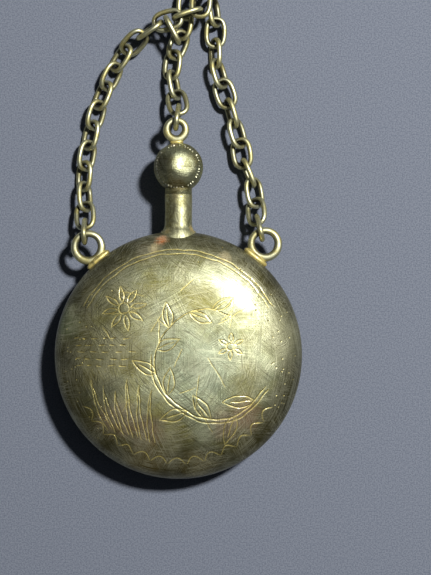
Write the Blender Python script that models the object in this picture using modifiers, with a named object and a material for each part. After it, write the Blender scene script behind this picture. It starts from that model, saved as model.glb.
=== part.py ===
"""A small round two-domed metal flask lying on its back, with a ball stopper and three chain strands.

Metres, +Z up. The flask's flat rest spot is centred on the origin and the neck points along +Y.
"""

from math import asin, copysign, cos, pi, radians, sin, sqrt

import bpy
from mathutils import Matrix, Vector

MM = 0.001

# flask body
FLASK_RADIUS = 25.0 * MM
DOME_RISE = 8.0 * MM
DOME_FULLNESS = 2.5
REST_FLAT = 0.4 * MM
SHEET = 0.7 * MM
FLOOR_SHEET = 0.55 * MM
SEAM_GAP = 0.1 * MM
LAP_HEIGHT = 1.6 * MM
LAP_SHEET = 0.5 * MM
AXIS_Z = DOME_RISE - REST_FLAT
SEAM_TURN = 0.012
BACK_SEAM_TURN = 0.1
LAP_TURN = 0.3
DOME_STEPS = 40
ARC_STEPS = 10
BALL_STEPS = 24
BOWL_STEPS = 6

# neck and stopper
SOLDER_GAP = 0.12 * MM
NECK_RADIUS = 2.75 * MM
NECK_BORE = 2.35 * MM
NECK_FOOT_RADIUS = 3.35 * MM
NECK_LIP = 0.15 * MM
NECK_LIP_HEIGHT = 0.8 * MM
NECK_LIP_EASE = 0.3 * MM
NECK_LENGTH = 7.5 * MM
NECK_FOOT_HEIGHT = 1.6 * MM
NECK_TOP = FLASK_RADIUS + NECK_LENGTH
MOUTH_RADIUS = 3.0 * MM
MOUTH_DEPTH = 4.0 * MM
BALL_RADIUS = 5.0 * MM
BALL_SEAT_GAP = 1.05 * MM
BALL_Y = NECK_TOP + sqrt(BALL_RADIUS**2 - NECK_BORE**2) + BALL_SEAT_GAP
BALL_SHEET = 0.6 * MM
PLUG_CLEAR = 0.12 * MM
PLUG_RADIUS = NECK_BORE - PLUG_CLEAR
PLUG_TAPER = 0.15 * MM
PLUG_DEPTH = 5.6 * MM
PLUG_NOSE = 0.4 * MM
PLUG_NOSE_EASE = 0.3 * MM
TANG_LENGTH = 2.4 * MM
TANG_RADIUS = 1.0 * MM
TANG_CLEAR = 0.15 * MM
STOPPER_RING_RADIUS = 1.88 * MM
STOPPER_RING_WIRE = 0.575 * MM
STOPPER_RING_REACH = BALL_RADIUS + SOLDER_GAP + STOPPER_RING_RADIUS + STOPPER_RING_WIRE
STOPPER_RING_LEAN = 3.5

# lug rings
LUG_RING_RADIUS = 2.7 * MM
LUG_WIRE = 0.6 * MM
LEFT_LUG_ANGLE = 40.0
RIGHT_LUG_ANGLE = 38.0
LUG_REACH = FLASK_RADIUS + SOLDER_GAP + LUG_RING_RADIUS + LUG_WIRE

# solder pads: half sizes outward, along the seam and up
LUG_PAD = (1.1 * MM, 2.6 * MM, 1.15 * MM)
LUG_PAD_OUT = 0.35 * MM
RING_PAD = (1.5 * MM, 0.7 * MM, 0.95 * MM)
RING_PAD_OUT = 0.2 * MM

# chain
LINK_LENGTH = 6.7 * MM
LINK_WIDTH = 4.7 * MM
LINK_WIRE = 0.53 * MM
LINK_PLAY = 0.3 * MM
LINK_ARC = LINK_WIDTH / 2 - LINK_WIRE
LINK_SPAN = LINK_LENGTH - 2 * LINK_WIRE
LINK_PITCH = LINK_SPAN - 2 * LINK_WIRE - LINK_PLAY
DRAWN_PITCH = 4.28 * MM
LINK_FULLNESS = 2.7
LINK_STEPS = 14
DROP_POINTS = 3
LOOSE_SHARE = 0.42
LOOSE_CLEAR = 0.36 * MM
LOOSE_LIFT = LINK_ARC - 2 * LINK_WIRE - LOOSE_CLEAR
LOOSE_DROP = 0.4 * MM
HANG_RING_RADIUS = 4.6 * MM
HANG_RING_WIRE = 0.8 * MM

for old in list(bpy.data.objects):
    bpy.data.objects.remove(old)

parts = bpy.data.collections.new("silver_flask")
cutters = bpy.data.collections.new("cutters")
bpy.context.scene.collection.children.link(parts)
bpy.context.scene.collection.children.link(cutters)
cutters.hide_render = True


def metal(name, colour):
    """A material of its own for one piece."""
    made = bpy.data.materials.new(name + "_metal")
    made.use_nodes = True
    shader = made.node_tree.nodes["Principled BSDF"]
    shader.inputs["Base Color"].default_value = (*colour, 1.0)
    shader.inputs["Metallic"].default_value = 1.0
    shader.inputs["Roughness"].default_value = 0.35
    return made


SILVER = (0.66, 0.65, 0.55)
SOLDER = (0.72, 0.55, 0.24)
CHAIN = (0.62, 0.61, 0.48)


def keep(obj, colour):
    """Puts a finished piece in the parts collection with its material."""
    for holder in list(obj.users_collection):
        holder.objects.unlink(obj)
    parts.objects.link(obj)
    obj.data.materials.clear()
    obj.data.materials.append(metal(obj.name, colour))
    return obj


def cutter(obj):
    """Hides a helper shape and puts it in the cutters collection."""
    for holder in list(obj.users_collection):
        holder.objects.unlink(obj)
    cutters.objects.link(obj)
    obj.hide_render = True
    obj.display_type = "WIRE"
    return obj


def turned(name, profile, steps, axis="Z", flip=False):
    """Spins a profile of (radius, height) points into a closed solid of revolution."""
    mesh = bpy.data.meshes.new(name)
    points = [(radius, 0.0, height) for radius, height in profile]
    edges = [(i, i + 1) for i in range(len(points) - 1)]
    on_axis = profile[0][0] == 0.0 and profile[-1][0] == 0.0
    if not on_axis:
        edges.append((len(points) - 1, 0))
    mesh.from_pydata(points, edges, [])
    obj = bpy.data.objects.new(name, mesh)
    bpy.context.scene.collection.objects.link(obj)
    spin = obj.modifiers.new("spin", "SCREW")
    spin.axis = "Z"
    spin.steps = steps
    spin.render_steps = steps
    spin.use_merge_vertices = True
    spin.merge_threshold = 0.000005
    spin.use_normal_calculate = True
    spin.use_normal_flip = flip
    if axis == "Y":
        obj.rotation_euler = (-pi / 2, 0.0, 0.0)
    return obj


def cut(obj, tool):
    """Takes a helper shape away from a piece."""
    step = obj.modifiers.new("cut_" + tool.name, "BOOLEAN")
    step.operation = "DIFFERENCE"
    step.solver = "EXACT"
    step.object = tool


def ellipsoid(name, centre, sizes, segments=48, rings=24):
    bpy.ops.mesh.primitive_uv_sphere_add(segments=segments, ring_count=rings, radius=1.0, location=centre)
    made = bpy.context.object
    made.name = name
    made.scale = sizes
    return made


def torus(name, centre, radius, wire, sides=8, steps=24):
    bpy.ops.mesh.primitive_torus_add(
        location=centre, major_radius=radius, minor_radius=wire, major_segments=steps, minor_segments=sides
    )
    made = bpy.context.object
    made.name = name
    return made


def dome_radius(height, swell=0.0):
    """Radius of the dome at a height from the seam, grown by swell: an oval fuller than an ellipse."""
    share = max(0.0, 1.0 - (abs(height) / (DOME_RISE + swell)) ** DOME_FULLNESS)
    return (FLASK_RADIUS + swell) * share ** (1.0 / DOME_FULLNESS)


def dome_arc(start, end, swell, steps):
    """Points along the dome's profile, their heights spaced as on an ellipse between two angles."""
    found = []
    for i in range(steps + 1):
        height = (DOME_RISE + swell) * sin(start + (end - start) * i / steps)
        found.append((dome_radius(height, swell), height))
    return found


def flask_body(name, swell):
    """The whole outside of the flask as one helper solid, grown by swell."""
    body = ellipsoid(name, (0.0, 0.0, AXIS_Z), (1.0, 1.0, 1.0), 96, 48)
    for point in body.data.vertices:
        height = point.co.z * (DOME_RISE + swell)
        level = Vector((point.co.x, point.co.y)).normalized() * dome_radius(height, swell)
        point.co = (level.x, level.y, height)
    return body


# flask shell: two raised halves that lap at the seam
seam_front = SEAM_GAP / 2
front = [(0.0, DOME_RISE)]
front += dome_arc(pi / 2, SEAM_TURN, 0.0, ARC_STEPS)[1:]
lap_outer = FLASK_RADIUS - SHEET - SEAM_GAP
front.append((lap_outer, seam_front))
front.append((dome_radius(LAP_HEIGHT, -SHEET - SEAM_GAP), -LAP_HEIGHT))
front.append((dome_radius(LAP_HEIGHT, -SHEET - SEAM_GAP - LAP_SHEET), -LAP_HEIGHT))
front.append((lap_outer - LAP_SHEET, 0.0))
front += dome_arc(LAP_TURN, pi / 2, -SHEET, ARC_STEPS - 3)[:-1]
front.append((0.0, DOME_RISE - SHEET))
front_dome = turned("front_dome", front, DOME_STEPS)
front_dome.location = (0.0, 0.0, AXIS_Z)

flat_height = DOME_RISE - REST_FLAT
inner_floor = -(flat_height - FLOOR_SHEET)
back = [(0.0, -flat_height)]
back += dome_arc(-asin(flat_height / DOME_RISE), -SEAM_TURN, 0.0, ARC_STEPS)
back.append((FLASK_RADIUS - SHEET, -seam_front))
lining = dome_arc(-BACK_SEAM_TURN, -pi / 2, -SHEET, ARC_STEPS)[1:-1]
back += [(radius, max(height, inner_floor)) for radius, height in lining]
back.append((0.0, inner_floor))
back_dome = turned("back_dome", back, DOME_STEPS)
back_dome.location = (0.0, 0.0, AXIS_Z)

bpy.ops.mesh.primitive_cylinder_add(
    vertices=24,
    radius=MOUTH_RADIUS,
    depth=2 * MOUTH_DEPTH,
    location=(0.0, FLASK_RADIUS, AXIS_Z),
    rotation=(pi / 2, 0.0, 0.0),
)
mouth = cutter(bpy.context.object)
mouth.name = "mouth"
cut(front_dome, mouth)
cut(back_dome, mouth)
keep(front_dome, SILVER)
keep(back_dome, SILVER)

# neck tube: a spread foot saddled on the rim, a plain bore and a thin lip
foot_low = FLASK_RADIUS - MOUTH_DEPTH
foot_spread = NECK_FOOT_RADIUS - NECK_RADIUS
lip_low = NECK_TOP - NECK_LIP_HEIGHT
neck = [
    (NECK_BORE, foot_low),
    (NECK_FOOT_RADIUS + foot_spread, foot_low),
    (NECK_FOOT_RADIUS, FLASK_RADIUS - foot_spread / 2),
    (NECK_RADIUS + foot_spread / 5, FLASK_RADIUS + NECK_FOOT_HEIGHT / 2),
    (NECK_RADIUS, FLASK_RADIUS + NECK_FOOT_HEIGHT),
    (NECK_RADIUS, lip_low - NECK_LIP_EASE),
    (NECK_RADIUS + NECK_LIP, lip_low),
    (NECK_RADIUS + NECK_LIP, NECK_TOP - NECK_LIP_EASE),
    (NECK_RADIUS + NECK_LIP - NECK_LIP_EASE, NECK_TOP),
    (NECK_BORE, NECK_TOP),
]
neck_tube = turned("neck_tube", neck, 28, "Y")
neck_tube.location = (0.0, 0.0, AXIS_Z)
saddle = cutter(flask_body("saddle", SOLDER_GAP))
cut(neck_tube, saddle)
keep(neck_tube, SILVER)


def lug(side, degrees):
    """One soldered lug ring and the solder that holds it to the rim, at an angle from the neck."""
    angle = radians(degrees)
    out = Vector((sin(angle), cos(angle), 0.0))
    centre = out * LUG_REACH + Vector((0.0, 0.0, AXIS_Z))
    ring = torus(side + "_lug_ring", centre, LUG_RING_RADIUS, LUG_WIRE)
    keep(ring, CHAIN)
    seat = out * (FLASK_RADIUS + LUG_PAD_OUT) + Vector((0.0, 0.0, AXIS_Z))
    pad = ellipsoid(side + "_lug_solder", seat, LUG_PAD, 16, 8)
    pad.rotation_euler = (0.0, 0.0, pi / 2 - angle)
    groove = cutter(torus(side + "_groove", centre, LUG_RING_RADIUS, LUG_WIRE + SOLDER_GAP, 10, 28))
    cut(pad, saddle)
    cut(pad, groove)
    keep(pad, SOLDER)
    return centre


left_lug = lug("left", -LEFT_LUG_ANGLE)
right_lug = lug("right", RIGHT_LUG_ANGLE)

# ball stopper: two raised halves, a plug riveted through the lower half, and a soldered ring
half_gap = SEAM_GAP / 2
inner = BALL_RADIUS - BALL_SHEET
outer_half = [(0.0, BALL_RADIUS)]
bowls = []
for i in range(1, BOWL_STEPS + 1):
    turn = pi / 2 * i / BOWL_STEPS
    outer_half.append((BALL_RADIUS * sin(turn), max(BALL_RADIUS * cos(turn), half_gap)))
for i in range(BOWL_STEPS, 0, -1):
    turn = pi / 2 * i / BOWL_STEPS
    outer_half.append((inner * sin(turn), max(inner * cos(turn), half_gap)))
outer_half.append((0.0, inner))
ball_cap = turned("stopper_ball_cap", outer_half, BALL_STEPS, "Y", True)
ball_cap.location = (0.0, BALL_Y, AXIS_Z)
keep(ball_cap, SILVER)

hole = TANG_RADIUS + TANG_CLEAR
for reach in (BALL_RADIUS, inner):
    first = hole / reach
    bowl = []
    for i in range(BOWL_STEPS + 1):
        turn = first + (pi / 2 - first) * i / BOWL_STEPS
        bowl.append((reach * sin(turn), min(-reach * cos(turn), -half_gap)))
    bowls.append(bowl)
ball_base = turned("stopper_ball_base", bowls[0] + bowls[1][::-1], BALL_STEPS, "Y", True)
ball_base.location = (0.0, BALL_Y, AXIS_Z)
keep(ball_base, SILVER)

seat_reach = BALL_RADIUS + SOLDER_GAP
plug_low = BALL_Y - seat_reach - PLUG_DEPTH
tang_top = BALL_Y - seat_reach + TANG_LENGTH
plug = [
    (0.0, plug_low),
    (PLUG_RADIUS - PLUG_TAPER - PLUG_NOSE_EASE, plug_low),
    (PLUG_RADIUS - PLUG_TAPER, plug_low + PLUG_NOSE),
    (PLUG_RADIUS, NECK_TOP),
]
for radius in (PLUG_RADIUS, (PLUG_RADIUS + TANG_RADIUS) / 2, TANG_RADIUS):
    plug.append((radius, BALL_Y - sqrt(seat_reach**2 - radius**2)))
plug += [(TANG_RADIUS, tang_top), (0.0, tang_top)]
stopper_plug = turned("stopper_plug", plug, 24, "Y", True)
stopper_plug.location = (0.0, 0.0, AXIS_Z)
keep(stopper_plug, SILVER)

ball_centre = Vector((0.0, BALL_Y, AXIS_Z))
ring_out = Vector((-sin(radians(STOPPER_RING_LEAN)), cos(radians(STOPPER_RING_LEAN)), 0.0))
ring_centre = ball_centre + ring_out * STOPPER_RING_REACH
keep(torus("stopper_ring", ring_centre, STOPPER_RING_RADIUS, STOPPER_RING_WIRE), CHAIN)
ring_seat = ball_centre + ring_out * (BALL_RADIUS + RING_PAD_OUT)
ring_solder = ellipsoid("stopper_ring_solder", ring_seat, RING_PAD, 16, 8)
ball_cut = cutter(
    ellipsoid("ball_cut", ball_centre, (BALL_RADIUS + SOLDER_GAP,) * 3, 48, 24)
)
ring_groove = STOPPER_RING_WIRE + SOLDER_GAP
ring_cut = cutter(torus("ring_cut", ring_centre, STOPPER_RING_RADIUS, ring_groove, 10, 28))
cut(ring_solder, ball_cut)
cut(ring_solder, ring_cut)
keep(ring_solder, SOLDER)


def side_of(along, roll):
    """The direction across a link, turned by its roll from level."""
    level = along.cross(Vector((0.0, 0.0, 1.0))).normalized()
    rise = level.cross(along)
    return level * cos(radians(roll)) + rise * sin(radians(roll))


def oval(share):
    """Eases a sine or cosine so that a link's sides are straighter than an ellipse's."""
    return copysign(abs(share) ** (2.0 / LINK_FULLNESS), share)


def link(name, hinge, near, along, side):
    """One oval wire link from its near end wire, its origin on the hinge it turns on."""
    curve = bpy.data.curves.new(name, "CURVE")
    curve.dimensions = "3D"
    curve.bevel_depth = LINK_WIRE
    curve.bevel_resolution = 1
    spline = curve.splines.new("POLY")
    turn = Matrix((along, side, along.cross(side))).transposed()
    shift = turn.transposed() @ (near + along * LINK_SPAN / 2 - hinge)
    points = []
    for i in range(LINK_STEPS):
        angle = 2 * pi * i / LINK_STEPS
        place = Vector((LINK_SPAN / 2 * oval(cos(angle)), LINK_ARC * oval(sin(angle)), 0.0))
        points.append(shift + place)
    spline.points.add(len(points) - 1)
    for point, place in zip(spline.points, points):
        point.co = (*place, 1.0)
    spline.use_cyclic_u = True
    obj = bpy.data.objects.new(name, curve)
    bpy.context.scene.collection.objects.link(obj)
    obj.matrix_world = Matrix.Translation(hinge) @ turn.to_4x4()
    return keep(obj, CHAIN)


def smooth(route, per_span=24):
    """A dense run of points through the route, as a Catmull-Rom curve."""
    ends = [route[0] * 2 - route[1]] + route + [route[-1] * 2 - route[-2]]
    run = []
    for a, b, c, d in zip(ends, ends[1:], ends[2:], ends[3:]):
        for i in range(per_span):
            t = i / per_span
            run.append(
                0.5
                * (
                    2 * b
                    + (c - a) * t
                    + (2 * a - 5 * b + 4 * c - d) * t * t
                    + (3 * b - a - 3 * c + d) * t * t * t
                )
            )
    run.append(route[-1])
    return run


def redrawn(route, anchor, bunch):
    """Carries a route along when sizes change: its start goes with the anchor, its far end with the bunch.

    The route's first point is where its anchor was when the route was drawn. Only the drop to the table
    follows the anchor's height. Longer links spread the route in plan from its start, and the bunch of all
    strands from the middle of the lugs.
    """
    drawn = [Vector(p) * MM for p in route]
    moved = anchor - drawn[0]
    spread = LINK_PITCH / DRAWN_PITCH - 1.0
    middle = Vector((0.0, left_route[0][1] * MM, 0.0))
    found = [anchor]
    for i, place in enumerate(drawn[1:], 1):
        share = i / (len(drawn) - 1)
        shift = moved.lerp(bunch, share) + (place - drawn[0].lerp(middle, share)) * spread
        shift.z = moved.z * max(0.0, 1.0 - i / DROP_POINTS)
        found.append(place + shift)
    return found


def strand(prefix, anchor, wire, level, route, rolls):
    """Lays links along a route, each hooked in the end wire of the one before, the first on an anchor wire.

    A bend that lies in the last link's own plane is taken on the new link's wire, any other on the old one.
    """
    run = smooth(redrawn(route, anchor, bunch))
    pins = [anchor]
    grip = wire
    held = level
    at = 0
    for number, roll in enumerate(rolls, 1):
        reach = grip + LINK_WIRE + LINK_PLAY
        while at < len(run) - 1 and (run[at] - pins[-1]).length < LINK_SPAN - reach:
            at += 1
        along = (run[at] - pins[-1]).normalized()
        side = side_of(along, roll)
        lead = (along - held * along.dot(held)).normalized()
        near = pins[-1] - lead * reach
        hinge = pins[-1] - lead * (grip + LINK_PLAY / 2)
        link(f"{prefix}_{number:02d}", hinge, near, along, side)
        pins.append(near + along * LINK_SPAN)
        grip = LINK_WIRE
        held = side
    return pins


# the left strand comes down from its lug, runs up the table and climbs over the tether
lug_pull = Vector((-0.38, 0.925, 0.0))
lug_wire = lug_pull.cross(Vector((0.0, 0.0, 1.0)))
left_anchor = left_lug + lug_pull * LUG_RING_RADIUS
left_route = [
    (-19.3, 24.27, 7.6), (-19.4, 25.6, 4.8), (-19.3, 29.0, 2.4), (-19.7, 35.3, 2.0), (-18.5, 44.1, 2.0),
    (-16.1, 52.8, 2.0), (-12.2, 60.8, 2.1), (-9.0, 64.6, 3.3), (-5.4, 67.3, 5.2), (-0.4, 68.6, 6.4),
    (4.0, 69.2, 6.4), (4.7, 72.4, 6.1), (4.9, 76.2, 5.0), (6.4, 80.2, 3.1), (8.4, 84.2, 2.3),
]
bunch = Vector((0.0, left_anchor.y - left_route[0][1] * MM, 0.0))
left_rolls = (90, 14, -58, 45, -45, 45, -45, 45, -45, 45, -28, 75, 5, 90, 8, -58, -120)
left_pins = strand("left_link", left_anchor, LUG_WIRE, lug_wire, left_route, left_rolls)

# the tether drops from the stopper ring and lies under the left strand
tether_anchor = ring_centre + Vector((0.0, STOPPER_RING_RADIUS, 0.0))
tether_wire = Vector((1.0, 0.0, 0.0))
tether_route = [
    (-0.46, 47.4, 7.6), (-0.1, 49.5, 4.7), (-0.7, 52.6, 2.3), (-1.5, 56.8, 2.1), (-1.6, 61.0, 1.8),
    (0.1, 65.0, 1.7), (1.4, 69.0, 1.65), (1.7, 73.3, 1.65), (1.7, 78.0, 1.65),
]
tether_rolls = (90, 0, -66, 36, -36, 36, -36)
strand("tether_link", tether_anchor, STOPPER_RING_WIRE, tether_wire, tether_route, tether_rolls)

# the right strand lies on the table all the way, turning on by about a sixth of a turn from link to link
right_anchor = right_lug + lug_pull * LUG_RING_RADIUS
right_route = [
    (16.47, 24.89, 7.6), (16.0, 26.8, 4.9), (15.7, 29.9, 2.6), (15.4, 34.4, 2.45), (13.6, 39.0, 2.45),
    (12.5, 44.0, 2.45), (10.6, 50.4, 2.45), (8.3, 57.0, 2.45), (7.0, 62.4, 2.4), (7.6, 66.6, 2.3),
    (7.4, 70.8, 2.3), (6.8, 75.0, 2.3),
]
right_rolls = tuple(90 - 63 * i for i in range(12))
strand("right_link", right_anchor, LUG_WIRE, lug_wire, right_route, right_rolls)

# a loose link threaded on the long side of the left strand's flat crossing link
crossing = left_pins[13] - left_pins[12]
crossing.normalize()
flank = crossing.cross(Vector((0.0, 0.0, 1.0))).normalized()
thread = left_pins[12].lerp(left_pins[13], LOOSE_SHARE) + flank * LINK_ARC
lean = Vector((-0.5, 0.95, 0.08)).normalized()
loose_centre = thread - lean * LOOSE_DROP + Vector((0.0, 0.0, LOOSE_LIFT))
link("loose_link", thread, loose_centre - lean * LINK_SPAN / 2, lean, side_of(lean, 90))

# the hanging ring on the left strand's last link, just past the picture's edge, its far side on the table
tail = (left_pins[-1] - left_pins[-2]).normalized()
caught = left_pins[-1] - tail * (HANG_RING_WIRE + LINK_WIRE + 2 * LINK_PLAY)
hook = left_pins[-1] - tail * (LINK_WIRE + LINK_PLAY)
flat = Vector((tail.x, tail.y, 0.0)).normalized()
dip = asin((caught.z - HANG_RING_WIRE) / (2 * HANG_RING_RADIUS))
lay = flat * cos(dip) - Vector((0.0, 0.0, sin(dip)))
beside = lay.cross(Vector((0.0, 0.0, 1.0))).normalized()
spin = Matrix((lay, beside, lay.cross(beside))).transposed()
hang_ring = torus("hang_ring", (0.0, 0.0, 0.0), HANG_RING_RADIUS, HANG_RING_WIRE, 8, 28)
hang_ring.data.transform(Matrix.Translation(spin.transposed() @ (caught + lay * HANG_RING_RADIUS - hook)))
hang_ring.matrix_world = Matrix.Translation(hook) @ spin.to_4x4()
keep(hang_ring, CHAIN)
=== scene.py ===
# Round silver flask with a ball stopper and chain: fine forms, finishes, light and camera
from math import cos, pi, radians, sin, sqrt

import bpy
import numpy as np
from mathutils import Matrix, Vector, kdtree


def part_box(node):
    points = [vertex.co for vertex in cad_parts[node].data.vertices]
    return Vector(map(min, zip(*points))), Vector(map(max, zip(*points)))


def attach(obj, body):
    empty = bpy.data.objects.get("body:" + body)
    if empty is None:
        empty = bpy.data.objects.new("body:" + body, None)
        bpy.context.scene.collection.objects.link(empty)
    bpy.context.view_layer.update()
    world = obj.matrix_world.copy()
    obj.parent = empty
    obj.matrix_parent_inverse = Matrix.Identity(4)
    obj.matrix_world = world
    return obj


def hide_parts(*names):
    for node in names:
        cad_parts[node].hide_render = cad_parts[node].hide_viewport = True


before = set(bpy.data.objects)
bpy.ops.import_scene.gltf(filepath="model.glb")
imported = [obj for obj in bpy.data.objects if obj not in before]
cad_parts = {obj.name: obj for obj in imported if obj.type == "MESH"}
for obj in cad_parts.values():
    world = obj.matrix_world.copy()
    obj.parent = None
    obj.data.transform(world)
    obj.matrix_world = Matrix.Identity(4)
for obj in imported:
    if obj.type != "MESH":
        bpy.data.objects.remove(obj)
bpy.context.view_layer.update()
mm = 0.001
creaseAngle = radians(62)  # edges that turn further than this stay sharp

# sizes read from the frame, in mm
_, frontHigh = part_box("front_dome")
backLow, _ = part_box("back_dome")
capLow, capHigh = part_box("stopper_ball_cap")
flaskRadius = frontHigh.x / mm
seamHeight = (capLow.z + capHigh.z) / 2 / mm  # the flask, neck and stopper share one axis
domeRise = frontHigh.z / mm - seamHeight
restHeight = backLow.z / mm
domeFullness = 2.5  # above 2 the dome is flatter on top and rounder at the edge than an ellipse
print("frame loaded, flask radius", round(flaskRadius, 2), "mm")


# mesh helpers, all in mm
def addPiece(name, points, faces, body, node, finish):
    mesh = bpy.data.meshes.new(name)
    mesh.from_pydata((np.asarray(points) * mm).tolist(), [], faces)
    mesh.shade_smooth()
    mesh.set_sharp_from_angle(angle=creaseAngle)
    mesh.update()
    piece = bpy.data.objects.new(name, mesh)
    bpy.context.scene.collection.objects.link(piece)
    mesh.materials.append(finish)
    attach(piece, body)
    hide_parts(node)
    return piece


def storeMask(piece, name, values):
    layer = piece.data.attributes.new(name, "FLOAT", "POINT")
    layer.data.foreach_set("value", np.asarray(values, np.float32))


def rolling(points, size, seed, waves=9, spread=(0.7, 1.6)):
    # smooth hand-raised unevenness from a few plane waves near one size, about -1 to 1
    dice = np.random.RandomState(seed)
    total = np.zeros(len(points))
    for _ in range(waves):
        way = dice.normal(size=3)
        way *= 2 * pi / (size * dice.uniform(*spread) * np.linalg.norm(way))
        total += np.cos(points @ way + dice.uniform(0, 2 * pi))
    return total / sqrt(waves)


def lathe(profile, turns, closed):
    # (radius, height) points spun round the second axis; a closed profile makes a ring-like solid
    profile = np.asarray(profile, float)
    angles = np.arange(turns) * 2 * pi / turns
    points = np.stack(
        [
            profile[:, None, 0] * np.cos(angles),
            np.repeat(profile[:, None, 1], turns, 1),
            profile[:, None, 0] * np.sin(angles),
        ],
        -1,
    ).reshape(-1, 3)
    faces = []
    rows = len(profile)
    for row in range(rows if closed else rows - 1):
        below, above = row * turns, (row + 1) % rows * turns
        for k in range(turns):
            n = (k + 1) % turns
            faces.append((below + k, above + k, above + n, below + n))
    if not closed:
        faces.append(tuple(range(turns)))
        faces.append(tuple(reversed(range((rows - 1) * turns, rows * turns))))
    return points, faces


def sweep(path, inward, wire, sides, shape):
    # a closed wire loop along a path; shape gives the radius share for each step and angle
    # the last value says how far each side of the wire faces the inside of the loop
    count = len(path)
    ahead = np.roll(path, -1, 0) - np.roll(path, 1, 0)
    ahead /= np.linalg.norm(ahead, axis=1)[:, None]
    across = np.cross(ahead, inward)
    angles = np.arange(sides) * 2 * pi / sides
    radius = wire * shape(np.arange(count)[:, None] / count, angles[None, :])
    normals = np.cos(angles)[:, None] * inward[:, None] + np.sin(angles)[:, None] * across[:, None]
    points = (path[:, None] + radius[..., None] * normals).reshape(-1, 3)
    faces = []
    for row in range(count):
        here, there = row * sides, (row + 1) % count * sides
        for k in range(sides):
            n = (k + 1) % sides
            faces.append((here + k, here + n, there + n, there + k))
    return points, faces, normals, np.cos(angles)


def nodePoints(node):
    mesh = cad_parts[node].data
    found = np.empty(len(mesh.vertices) * 3)
    mesh.vertices.foreach_get("co", found)
    return found.reshape(-1, 3) / mm


def nodeAxes(node):
    # centre of a CAD wire loop, and its long, side and normal directions as rows
    found = nodePoints(node)
    centre = found.mean(0)
    _, _, axes = np.linalg.svd(found - centre, full_matrices=False)
    if np.linalg.det(axes) < 0:
        axes[2] *= -1
    return centre, axes


# shader helpers
def put(tree, kind, sockets=None, **settings):
    made = tree.nodes.new("ShaderNode" + kind)
    for key, value in settings.items():
        setattr(made, key, value)
    for key, value in (sockets or {}).items():
        if isinstance(value, bpy.types.NodeSocket):
            tree.links.new(value, made.inputs[key])
        else:
            made.inputs[key].default_value = value
    return made


def calc(tree, operation, a, b=0.0):
    return put(tree, "Math", {0: a, 1: b}, operation=operation).outputs[0]


def ramp(tree, value, low, high, start=0.0, end=1.0):
    sockets = {"Value": value, "From Min": low, "From Max": high, "To Min": start, "To Max": end}
    return put(tree, "MapRange", sockets, interpolation_type="SMOOTHSTEP").outputs[0]


def blendColour(tree, share, first, second):
    return put(tree, "Mix", {0: share, 6: first, 7: second}, data_type="RGBA").outputs[2]


def noise(tree, place, scale, detail=2.0, rough=0.5):
    sockets = {"Vector": place, "Scale": scale, "Detail": detail, "Roughness": rough}
    return put(tree, "TexNoise", sockets).outputs["Fac"]


def moved(tree, place, operation, amount):
    return put(tree, "VectorMath", {0: place, 1: amount}, operation=operation).outputs[0]


def newGroup(name, inputs, outputs):
    tree = bpy.data.node_groups.new(name, "ShaderNodeTree")
    for label, kind in inputs:
        tree.interface.new_socket(label, in_out="INPUT", socket_type="NodeSocket" + kind)
    for label in outputs:
        tree.interface.new_socket(label, in_out="OUTPUT", socket_type="NodeSocketFloat")
    return tree, tree.nodes.new("NodeGroupInput"), tree.nodes.new("NodeGroupOutput")


def buildHairlines():
    # long fine polishing scratches, in layers that run different ways and wander a little
    layers = {
        "turns": (8, 38, 63, 92, 121, 150, 172), "squeeze": (0.035, 4.4, 0.35), "width": 0.09,
        "wander": 2.4, "wanderScale": 0.05, "sweeps": 2, "sweepLength": 1.6, "apart": (17.3, 5.1, 9.7),
        "gate": (0.40, 0.62), "gateScale": 0.16, "gatesApart": (3.7, 8.9, 0.0), "dark": (1, 3, 5, 8),
    }
    inputs = [("Place", "Vector"), ("Amount", "Float")]
    tree, given, result = newGroup("hairlines", inputs, ["Bright", "Dark"])
    place = given.outputs["Place"]
    sockets = {"Vector": place, "Scale": layers["wanderScale"], "Detail": 1.0}
    drift = put(tree, "TexNoise", sockets).outputs["Color"]
    drift = moved(tree, drift, "MULTIPLY", (layers["wander"],) * 3)
    drift = moved(tree, drift, "ADD", place)
    ways = []
    for turn in layers["turns"]:
        way = put(tree, "VectorRotate", {"Vector": drift, "Angle": radians(turn)}, rotation_type="Z_AXIS")
        ways.append(moved(tree, way.outputs[0], "MULTIPLY", layers["squeeze"]))
    flat = moved(tree, drift, "MULTIPLY", (1, 1, 0))
    reach = put(tree, "VectorMath", {0: flat}, operation="LENGTH").outputs["Value"]
    across = put(tree, "CombineXYZ", {2: calc(tree, "MULTIPLY", reach, layers["squeeze"][1])}).outputs[0]
    around = put(tree, "VectorMath", {0: flat}, operation="NORMALIZE").outputs[0]
    around = moved(tree, around, "MULTIPLY", (layers["sweepLength"],) * 3)
    ways += [moved(tree, around, "ADD", across)] * layers["sweeps"]  # these run round the flask
    totals = {"Bright": None, "Dark": None}
    for number, way in enumerate(ways):
        way = moved(tree, way, "ADD", [number * apart for apart in layers["apart"]])
        off = calc(tree, "ABSOLUTE", calc(tree, "SUBTRACT", noise(tree, way, 1.0, detail=0.8), 0.5))
        line = ramp(tree, off, 0.0, layers["width"], 1.0, 0.0)
        gatePlace = moved(tree, place, "ADD", [number * apart for apart in layers["gatesApart"]])
        gate = ramp(tree, noise(tree, gatePlace, layers["gateScale"]), *layers["gate"])
        line = calc(tree, "MULTIPLY", line, gate)
        side = "Dark" if number in layers["dark"] else "Bright"
        totals[side] = line if totals[side] is None else calc(tree, "MAXIMUM", totals[side], line)
    for side, total in totals.items():
        tree.links.new(calc(tree, "MULTIPLY", total, given.outputs["Amount"]), result.inputs[side])
    return tree


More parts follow.
